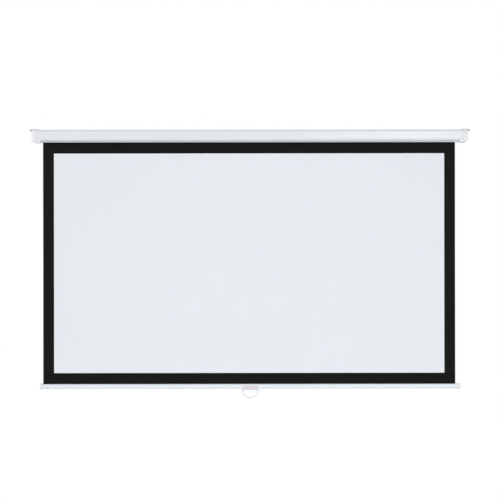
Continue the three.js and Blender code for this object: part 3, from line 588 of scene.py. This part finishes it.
def roundEdges(piece, edge):
    weld = piece.modifiers.new("weld", "WELD")
    weld.merge_threshold = edgeWork["weld"] * mm
    dissolve = piece.modifiers.new("flat faces", "DECIMATE")
    dissolve.decimate_type = "DISSOLVE"
    dissolve.angle_limit = math.radians(edgeWork["flat"])
    smooth = piece.modifiers.new("smooth faces", "NODES")
    smooth.node_group = smoothGroup
    bevel = piece.modifiers.new("rounded edges", "BEVEL")
    bevel.width = edge * mm
    bevel.segments = edgeWork["segments"]
    bevel.limit_method = "ANGLE"
    bevel.angle_limit = math.radians(edgeWork["corner"])
    bevel.use_clamp_overlap = True
    normals = piece.modifiers.new("face normals", "WEIGHTED_NORMAL")
    normals.weight = edgeWork["faceWeight"]
    normals.keep_sharp = False


cadFinishes = [
    # material, edge radius in mm, nodes
    (casePaint, 0.3, ["case_shell"]),
    (capPlastic, 0.4, ["end_cap_left", "end_cap_right"]),
    (barCapPlastic, 0.4, ["bar_cap_left", "bar_cap_right"]),
    (hangerSteel, 0.3, ["hanger_left", "hanger_right"]),
    (barPaint, 0.25, ["bar_tube"]),
    (handlePlastic, 0.5, ["handle_base"]),
    (nylon, 0.2, ["idle_bush", "idle_plug", "carrier_bush", "drive_plug", "fabric_spline"]),
    (springWire, 0.0, ["torsion_spring"]),
    (zincSteel, 0.2, [
        "spear_bracket", "idle_bracket", "idle_pin", "spring_shaft", "ratchet_wheel",
        "shaft_clip", "spring_collet", "pawl_carrier", "pawl_upper", "pawl_lower",
        "pawl_pin_upper", "pawl_pin_lower", "roller_tube", "hem_rod",
    ]),
]
for material, edge, names in cadFinishes:
    for name in names:
        piece = frame["nodes"][name]
        piece.data.materials.clear()
        piece.data.materials.append(material)
        if edge:
            roundEdges(piece, edge)
print("CAD pieces finished")


# Meshes
def newPiece(name, points, faces, materials, finishes=None, smooth=True):
    mesh = bpy.data.meshes.new(name)
    mesh.from_pydata([tuple(point) for point in points], [], faces)
    for material in materials:
        mesh.materials.append(material)
    if finishes:
        mesh.polygons.foreach_set("material_index", finishes)
    mesh.polygons.foreach_set("use_smooth", [smooth] * len(faces))
    mesh.validate()
    piece = bpy.data.objects.new(name, mesh)
    bpy.context.scene.collection.objects.link(piece)
    return piece


def skinned(rings):
    # Rings of equal count, one after the other, joined by quads and closed by a fan at each end.
    count = len(rings[0])
    points = [point for ring in rings for point in ring]
    faces = []
    for row in range(len(rings) - 1):
        for at in range(count):
            following = (at + 1) % count
            low = row * count
            faces.append([low + at, low + following, low + count + following, low + count + at])
    for ring, first in ((rings[0], 0), (rings[-1], (len(rings) - 1) * count)):
        points.append(sum((Vector(point) for point in ring), Vector()) / count)
        hub = len(points) - 1
        for at in range(count):
            fan = [first + at, first + (at + 1) % count, hub]
            faces.append(fan[::-1] if first == 0 else fan)
    return points, faces


def placed(points, place, direction):
    # From a shape drawn up its own Z to where it sits and the way that it points.
    turn = Vector((0, 0, 1)).rotation_difference(Vector(direction))
    return [turn @ Vector(point) + Vector(place) for point in points]


# The cloth: coated woven glass fibre, white in the window, black border in front, black behind.
cloth = {
    "thickness": 0.4,
    "printGap": 0.3,  # the CAD window stands this far inside the border
    "splitAbove": 10,  # below the image: what is lower goes with the bar
    "columnWidth": 48,
    "rowHeight": 48,
    "curlWidth": 26,
    "curlColumns": 5,
    "curl": 1.4,
    "wave": 0.5,
    "waveLength": 530,
    "waveStart": 0.8,
    "ripple": 0.25,
    "rippleLength": 210,
    "rippleStart": 2.1,
    "rippleLean": 0.35,  # sideways for each length down
    "tautness": 0.7,  # lower fills the bow out closer to the roller and the bar
    "tuck": 20,  # how far above the roller's axis the drawn-up cloth is put away
}
clothLeft, clothRight = maskLow.x, maskHigh.x
clothTop = maskHigh.z
windowLeft = windowLow.x - cloth["printGap"] * mm
windowRight = windowHigh.x + cloth["printGap"] * mm
windowTop = windowHigh.z + cloth["printGap"] * mm
windowFoot = windowLow.z - cloth["printGap"] * mm
splitHeight = windowFoot - cloth["splitAbove"] * mm


def evenly(start, end, step):
    count = max(1, round(abs(end - start) / step))
    return [start + (end - start) * at / count for at in range(count)]


def bowOf(x, z):
    # How far the cloth stands back from its plane: nothing at the roller and at the bar.
    down = (clothTop - z) / (clothTop - splitHeight)
    hold = math.sin(math.pi * min(max(down, 0), 1)) ** cloth["tautness"]
    fromEdge = min(x - clothLeft, clothRight - x) / (cloth["curlWidth"] * mm)
    curl = cloth["curl"] * max(0, 1 - fromEdge) ** 2
    waveTurn = 2 * math.pi * x / (cloth["waveLength"] * mm) + cloth["waveStart"]
    leaning = x + cloth["rippleLean"] * z
    rippleTurn = 2 * math.pi * leaning / (cloth["rippleLength"] * mm) + cloth["rippleStart"]
    wave = cloth["wave"] * math.sin(waveTurn)
    ripple = cloth["ripple"] * math.sin(rippleTurn)
    return hold * (curl + wave + ripple) * mm


def hangingCloth():
    wide = cloth["columnWidth"] * mm
    curled = cloth["curlWidth"] * mm
    narrow = curled / cloth["curlColumns"]
    xs = evenly(clothLeft, clothLeft + curled, narrow)
    xs += evenly(clothLeft + curled, windowLeft, wide)
    xs += evenly(windowLeft, windowRight, wide)
    xs += evenly(windowRight, clothRight - curled, wide)
    xs += evenly(clothRight - curled, clothRight, narrow) + [clothRight]
    tall = cloth["rowHeight"] * mm
    zs = evenly(clothTop, windowTop, tall / 2)
    zs += evenly(windowTop, windowFoot, tall)
    zs += evenly(windowFoot, splitHeight, tall) + [splitHeight]
    half = cloth["thickness"] * mm / 2
    points = []
    for side in (-half, half):
        points += [(x, clothY + bowOf(x, z) + side, z) for z in zs for x in xs]
    columns, rows = len(xs), len(zs)
    back = columns * rows
    faces, finishes = [], []
    for row in range(rows - 1):
        for column in range(columns - 1):
            a = row * columns + column
            quad = [a, a + columns, a + columns + 1, a + 1]
            inWindow = (
                windowLeft - half < xs[column] < windowRight - half
                and windowFoot + half < zs[row] < windowTop + half
            )
            faces.append(quad)
            finishes.append(0 if inWindow else 1)
            faces.append([back + corner for corner in reversed(quad)])
            finishes.append(2)
    rim = list(range(columns))
    rim += [row * columns + columns - 1 for row in range(1, rows)]
    rim += [(rows - 1) * columns + column for column in range(columns - 2, -1, -1)]
    rim += [row * columns for row in range(rows - 2, 0, -1)]
    for at, a in enumerate(rim):
        b = rim[(at + 1) % len(rim)]
        faces.append([a, b, back + b, back + a])
        finishes.append(1)
    return newPiece("screen_cloth", points, faces, [mattWhite, blackPrint, blackBack], finishes)


def strip(name, path, columns):
    # A cloth strip from a (y, z) path: the left of the path is the cloth's back.
    half = cloth["thickness"] * mm / 2
    front, behind = [], []
    for at, (y, z) in enumerate(path):
        before = path[max(at - 1, 0)]
        after = path[min(at + 1, len(path) - 1)]
        run = Vector((after[0] - before[0], after[1] - before[1])).normalized()
        front.append((y + run.y * half, z - run.x * half))
        behind.append((y - run.y * half, z + run.x * half))
    outline = front + behind[::-1]
    count = len(outline)
    points, faces, finishes = [], [], []
    for column in range(columns + 1):
        x = clothLeft + (clothRight - clothLeft) * column / columns
        points += [(x, y, z) for y, z in outline]
    for column in range(columns):
        low = column * count
        for at in range(count):
            following = (at + 1) % count
            faces.append([low + at, low + count + at, low + count + following, low + following])
            finishes.append(0 if at < len(front) - 1 else 1)
    for low, turned in ((0, True), (columns * count, False)):
        for at in range(len(path) - 1):
            lid = [low + at, low + at + 1, low + count - 2 - at, low + count - 1 - at]
            faces.append(lid if turned else lid[::-1])
            finishes.append(1)
    return newPiece(name, points, faces, [blackPrint, blackBack], finishes)


hem = {
    "lap": 15,  # how far the turned-up end is welded to the back, above the bar
    "lapStand": 1.15,  # of the cloth's thickness, from layer to layer
    "openHalf": 12.0,  # degrees either side of the top, where the two layers close over the rod
    "steps": 28,
    "columns": 8,
}


def lowerBorder():
    rodY, rodZ = middleOf("fabric_hem").y, middleOf("fabric_hem").z
    thick = cloth["thickness"] * mm
    radius = (hemHigh.z - hemLow.z - thick) / 2
    path = [(clothY, splitHeight), (clothY, (splitHeight + barHigh.z) / 2), (clothY, barHigh.z)]
    path += [(clothY, hemHigh.z + thick / 2)]
    swing = 360 - 2 * hem["openHalf"]
    for step in range(hem["steps"] + 1):
        angle = math.radians(90 + hem["openHalf"] + swing * step / hem["steps"])
        path.append((rodY + radius * math.cos(angle), rodZ + radius * math.sin(angle)))
    lapY = clothY + hem["lapStand"] * thick
    lapTop = barHigh.z + hem["lap"] * mm
    path += [(lapY, hemHigh.z + thick / 2), (lapY, (barHigh.z + lapTop) / 2), (lapY, lapTop)]
    return strip("lower_border", path, hem["columns"])


roll = {"inner": 19.4, "outer": 21.0, "turns": 2.25, "steps": 48, "columns": 6}


def rollWraps():
    axisY = middleOf("roller_tube").y
    count = round(roll["turns"] * roll["steps"])
    path = []
    for step in range(count + 1):
        share = step / count
        angle = 2 * math.pi * roll["turns"] * share
        radius = (roll["outer"] + (roll["inner"] - roll["outer"]) * share) * mm
        path.append((axisY + radius * math.cos(angle), radius * math.sin(angle)))
    return strip("roll_wraps", path, roll["columns"])


mainCloth = hangingCloth()
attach(mainCloth, "case")
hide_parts("viewing_surface", "border_mask", "black_backing")
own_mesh(mainCloth)

lowerCloth = lowerBorder()
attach(lowerCloth, "weight_bar")
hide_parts("fabric_hem")

rolledCloth = rollWraps()
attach(rolledCloth, "roller")
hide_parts("fabric_wraps")

print("cloth made")


# Fasteners: pan head screws with a cross recess, and domed rivets.
fastener = {
    "around": 40,
    "tip": 0.15,  # of the shank's radius
    "neck": 0.1,
    "neckFlare": 1.05,  # of the shank's radius
    "headProfile": [  # shares of the head's radius and height, from its seat to its crown
        (0.96, 1), (1, 0.92), (1, 0.55), (0.95, 0.3), (0.84, 0.1), (0.7, 0),
    ],
    "recessReach": 0.62,  # of the head's radius
    "recessHalf": 0.17,  # half the width of an arm, of the head's radius
    "recessRim": (0.97, 0.92, 0.08),  # its reach, width and drop, where the rim is rounded
    "recessTaper": 0.45,
    "recessDepth": 0.6,  # of the head's height
}
rivet = {
    "head": 1.2,
    "shank": 0.53,  # of the head's radius
    "flare": 0.8,  # of the head's radius
    "flareProfile": [(0.5, 0), (0.9, 0.2), (1, 0.6), (1, 1)],  # shares of the flare and the head
    "seat": 0.98,
    "domeSteps": 8,
    "domeFullness": 0.8,
}
upward, downward = (0, 0, 1), (0, 0, -1)
toLeft, toRight, toViewer = (-1, 0, 0), (1, 0, 0), (0, -1, 0)


def ringAt(radius, height):
    turns = [2 * math.pi * at / fastener["around"] for at in range(fastener["around"])]
    return [(radius * math.cos(turn), radius * math.sin(turn), height) for turn in turns]


def crossAt(reach, halfWidth, height):
    # A plus sign: each arm ends at its reach, and its sides run parallel.
    points = []
    for at in range(fastener["around"]):
        turn = 2 * math.pi * at / fastener["around"]
        fromArm = (turn + math.pi / 4) % (math.pi / 2) - math.pi / 4
        sides = halfWidth / max(abs(math.sin(fromArm)), 1e-6)
        radius = min(reach / math.cos(fromArm), sides)
        points.append((radius * math.cos(turn), radius * math.sin(turn), height))
    return points


def boxAlong(node, direction):
    # Where the node's head ends along the direction, its length that way and its half width.
    low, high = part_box(node)
    pointing = Vector(direction)
    size = high - low
    length = abs(size.dot(pointing))
    tip = (low + high) / 2 + pointing * length / 2
    width = max(value for value, part in zip(size, pointing) if not part)
    return tip, length, width / 2


def finishFastener(piece, node, body):
    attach(piece, body)
    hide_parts(node)


def crossScrew(node, direction, size, body):
    headHeight, shankShare = size
    tip, length, radius = boxAlong(node, direction)
    head = headHeight * mm
    shank = radius * shankShare
    reach = fastener["recessReach"] * radius
    half = fastener["recessHalf"] * radius
    rimReach, rimHalf, rimDrop = fastener["recessRim"]
    taper = fastener["recessTaper"]
    rings = [
        ringAt(shank * fastener["tip"], -length),
        ringAt(shank, -length + shank),
        ringAt(shank, -head - fastener["neck"] * mm),
        ringAt(shank * fastener["neckFlare"], -head),
    ]
    rings += [ringAt(radius * wide, -head * high) for wide, high in fastener["headProfile"]]
    rings += [
        crossAt(reach, half, 0),
        crossAt(reach * rimReach, half * rimHalf, -head * rimDrop),
        crossAt(reach * taper, half * taper, -head * fastener["recessDepth"]),
    ]
    points, faces = skinned(rings)
    piece = newPiece(node + "_cross", placed(points, tip, direction), faces, [zincSteel])
    edges = piece.modifiers.new("face normals", "WEIGHTED_NORMAL")
    edges.keep_sharp = False
    finishFastener(piece, node, body)


def domedRivet(node, direction, body):
    tip, length, radius = boxAlong(node, direction)
    head = rivet["head"] * mm
    shank = radius * rivet["shank"]
    flare = radius * rivet["flare"]
    rings = [ringAt(flare * wide, -length + head * high) for wide, high in rivet["flareProfile"]]
    rings += [
        ringAt(shank, -length + head),
        ringAt(shank, -head),
        ringAt(radius * rivet["seat"], -head),
    ]
    for step in range(1, rivet["domeSteps"]):
        angle = math.pi / 2 * step / rivet["domeSteps"]
        wide = math.cos(angle) ** rivet["domeFullness"]
        rings.append(ringAt(radius * wide, head * (math.sin(angle) - 1)))
    points, faces = skinned(rings)
    piece = newPiece(node + "_dome", placed(points, tip, direction), faces, [zincSteel])
    finishFastener(piece, node, body)


screwSizes = {
    # height of the head in mm, and the shank's share of the head's width
    "hanger": (2.3, 0.5),
    "cap": (2.3, 0.45),
    "lock": (2.3, 0.65),
    "bar": (1.2, 0.54),
}
for word, outward in (("left", toLeft), ("right", toRight)):
    for number in (1, 2):
        crossScrew(f"hanger_screw_{word}_{number}", upward, screwSizes["hanger"], "case")
        crossScrew(f"cap_screw_{word}_{number}", outward, screwSizes["cap"], "case")
    crossScrew(f"bar_cap_screw_{word}", toViewer, screwSizes["bar"], "weight_bar")
    crossScrew(f"handle_screw_{word}", downward, screwSizes["bar"], "weight_bar")
crossScrew("idle_lock_screw", toViewer, screwSizes["lock"], "case")
for word, outward in (("spear", toLeft), ("idle", toRight)):
    for number in (1, 2):
        domedRivet(f"{word}_bracket_rivet_{number}", outward, "case")
print("fasteners made")


# The pull loop: one round wire bent to a flat half oval, its two ends turned in to the ears.
loop = {
    "sides": 20,
    "ovalSteps": 64,
    "cornerSteps": 6,
    "corner": 3,
    "pinLength": 8,  # of each end in its ear
    "tipRound": 0.6,
}


def loopPath():
    low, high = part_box("pull_loop")
    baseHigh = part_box("handle_base")[1]
    radius = (high.y - low.y) / 2
    pivot = Vector(joints["handle_swing"]["pos_m"])
    reach = high.x - radius
    corner = loop["corner"] * mm
    drop = pivot.z - corner
    depth = drop - (low.z + radius)
    pin = baseHigh.x - loop["pinLength"] * mm
    path = [Vector((-pin, pivot.y, pivot.z))]
    for step in range(loop["cornerSteps"] + 1):
        angle = math.pi / 2 * step / loop["cornerSteps"]
        x = -(reach - corner + corner * math.sin(angle))
        path.append(Vector((x, pivot.y, pivot.z - corner * (1 - math.cos(angle)))))
    mirrored = [Vector((-point.x, point.y, point.z)) for point in reversed(path)]
    for step in range(1, loop["ovalSteps"]):
        angle = math.pi * step / loop["ovalSteps"]
        path.append(Vector((-reach * math.cos(angle), pivot.y, drop - depth * math.sin(angle))))
    return path + mirrored, radius


def wireAlong(name, path, radius, material):
    across = Vector((0, 1, 0))  # the wire lies in one upright plane
    tip = loop["tipRound"] * mm
    turns = [2 * math.pi * step / loop["sides"] for step in range(loop["sides"])]
    last = len(path) - 1
    rings = []
    for at, point in enumerate(path):
        run = (path[min(at + 1, last)] - path[max(at - 1, 0)]).normalized()
        side = run.cross(across)
        outs = [side * math.cos(turn) + across * math.sin(turn) for turn in turns]
        if at == last:
            rings.append([point - run * tip + out * radius for out in outs])
        if at in (0, last):
            rings.append([point + out * (radius - tip) for out in outs])
        else:
            rings.append([point + out * radius for out in outs])
        if at == 0:
            rings.append([point + run * tip + out * radius for out in outs])
    points, faces = skinned(rings)
    return newPiece(name, points, faces, [material])


wirePath, wireRadius = loopPath()
pullLoop = wireAlong("pull_loop_wire", wirePath, wireRadius, loopCoat)
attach(pullLoop, "pull_loop")
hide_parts("pull_loop")
print("pull loop made")


# Stage: a pale floor that turns into the white of the background, soft light and the camera.
stage = {
    "floorDepth": 2600,
    "floorColour": "#E8E9EA",
    "floorReach": 6000,
    "fadeFrom": 1500,
    "fadeTo": 2900,
    "backdrop": "#FFFFFF",
    "ambient": 0.55,
    "ambientTint": (0.985, 0.993, 1.0, 1.0),  # already linear: daylight, barely blue
}


def seenDirectly(tree):
    # 1 for what the camera sees, also mirrored in metal or through a clear piece, otherwise 0.
    path = addNode(tree, "ShaderNodeLightPath")
    direct = addNode(
        tree,
        "ShaderNodeMath",
        {0: path.outputs["Is Camera Ray"], 1: path.outputs["Is Glossy Ray"]},
        operation="MAXIMUM",
    )
    seen = addNode(
        tree,
        "ShaderNodeMath",
        {0: direct.outputs["Value"], 1: path.outputs["Is Transmission Ray"]},
        operation="MAXIMUM",
    )
    return seen.outputs["Value"]


def paleFloor():
    reach = stage["floorReach"] * mm
    level = -stage["floorDepth"] * mm
    corners = [(x * reach, y * reach, level) for x, y in ((-1, -1), (1, -1), (1, 1), (-1, 1))]
    material = bpy.data.materials.new("pale studio floor")
    material.use_nodes = True
    tree = material.node_tree
    tree.nodes.clear()
    place = addNode(tree, "ShaderNodeTexCoord").outputs["Object"]
    axes = addNode(tree, "ShaderNodeSeparateXYZ", {"Vector": place})
    flat = addNode(
        tree, "ShaderNodeCombineXYZ", {"X": axes.outputs["X"], "Y": axes.outputs["Y"]}
    )
    distance = addNode(
        tree, "ShaderNodeVectorMath", {0: flat.outputs["Vector"]}, operation="LENGTH"
    )
    fade = addNode(
        tree,
        "ShaderNodeMapRange",
        {
            "Value": distance.outputs["Value"],
            "From Min": stage["fadeFrom"] * mm,
            "From Max": stage["fadeTo"] * mm,
        },
        interpolation_type="SMOOTHSTEP",
    )
    plain = addNode(tree, "ShaderNodeBsdfDiffuse", {"Color": linear(stage["floorColour"])})
    white = addNode(
        tree, "ShaderNodeEmission", {"Color": linear(stage["backdrop"]), "Strength": 1.0}
    )
    share = addNode(
        tree,
        "ShaderNodeMath",
        {0: fade.outputs["Result"], 1: seenDirectly(tree)},
        operation="MULTIPLY",
    )
    surface = addNode(
        tree,
        "ShaderNodeMixShader",
        {0: share.outputs["Value"], 1: plain.outputs[0], 2: white.outputs[0]},
    )
    # The floor is open from below, so that the underside of the screen can be looked at.
    below = addNode(tree, "ShaderNodeNewGeometry").outputs["Backfacing"]
    clear = addNode(tree, "ShaderNodeBsdfTransparent")
    oneSided = addNode(
        tree, "ShaderNodeMixShader", {0: below, 1: surface.outputs[0], 2: clear.outputs[0]}
    )
    addNode(tree, "ShaderNodeOutputMaterial", {"Surface": oneSided.outputs[0]})
    floor = newPiece("studio_floor", corners, [[0, 1, 2, 3]], [material], smooth=False)


def whiteRoom():
    world = bpy.data.worlds.new("white room")
    bpy.context.scene.world = world
    world.use_nodes = True
    tree = world.node_tree
    tree.nodes.clear()
    ambient = addNode(
        tree,
        "ShaderNodeBackground",
        {"Color": stage["ambientTint"], "Strength": stage["ambient"]},
    )
    backdrop = addNode(
        tree, "ShaderNodeBackground", {"Color": linear(stage["backdrop"]), "Strength": 1.0}
    )
    mixed = addNode(
        tree,
        "ShaderNodeMixShader",
        {0: seenDirectly(tree), 1: ambient.outputs[0], 2: backdrop.outputs[0]},
    )
    addNode(tree, "ShaderNodeOutputWorld", {"Surface": mixed.outputs[0]})


softBoxes = [
    # name, place and size in mm, brightness of its face, where 1 is white
    ("key", (-400, -5600, -800), (7000, 2200), 0.66),
    ("under fill", (0, -3000, -2100), (6000, 900), 1.2),
    ("right accent", (1600, -5300, 650), (900, 900), 19.5),
    ("left accent", (-2100, -5300, 650), (700, 700), 8.9),
    ("high left", (-1800, -3600, 2800), (1800, 1200), 2.8),
    ("right fill", (5200, 900, 200), (3000, 3000), 1.4),
    ("left fill", (-5200, 900, 200), (3000, 3000), 1.4),
    ("back fill", (0, 5200, 2600), (6000, 3000), 1.3),
]


def softBox(name, place, size, brightness):
    light = bpy.data.lights.new(name, "AREA")
    light.shape = "RECTANGLE"
    light.size = size[0] * mm
    light.size_y = size[1] * mm
    light.energy = brightness * math.pi * light.size * light.size_y
    lamp = bpy.data.objects.new(name, light)
    bpy.context.scene.collection.objects.link(lamp)
    lamp.visible_camera = False
    lamp.location = Vector(place) * mm
    target = (cadLow + cadHigh) / 2
    lamp.rotation_euler = (target - lamp.location).to_track_quat("-Z", "Y").to_euler()


photoView = {
    "focal": 77.25,
    "sensor": 36,
    "distance": 5500,  # from the cloth
    "height": -582,
    "roll": 0.07,  # degrees: the photograph's right side is a little high
    "farthest": 50000,
}


def photoCamera():
    camera = bpy.data.cameras.new("photo view")
    camera.lens = photoView["focal"]
    camera.sensor_width = photoView["sensor"]
    camera.clip_end = photoView["farthest"] * mm
    viewer = bpy.data.objects.new("photo view", camera)
    bpy.context.scene.collection.objects.link(viewer)
    viewer.location = (0, clothY - photoView["distance"] * mm, photoView["height"] * mm)
    viewer.rotation_euler = (math.pi / 2, math.radians(photoView["roll"]), 0)
    bpy.context.scene.camera = viewer


paleFloor()
whiteRoom()
for name, place, size, brightness in softBoxes:
    softBox(name, place, size, brightness)
photoCamera()
bpy.context.scene.view_settings.view_transform = "Standard"
print("stage set")
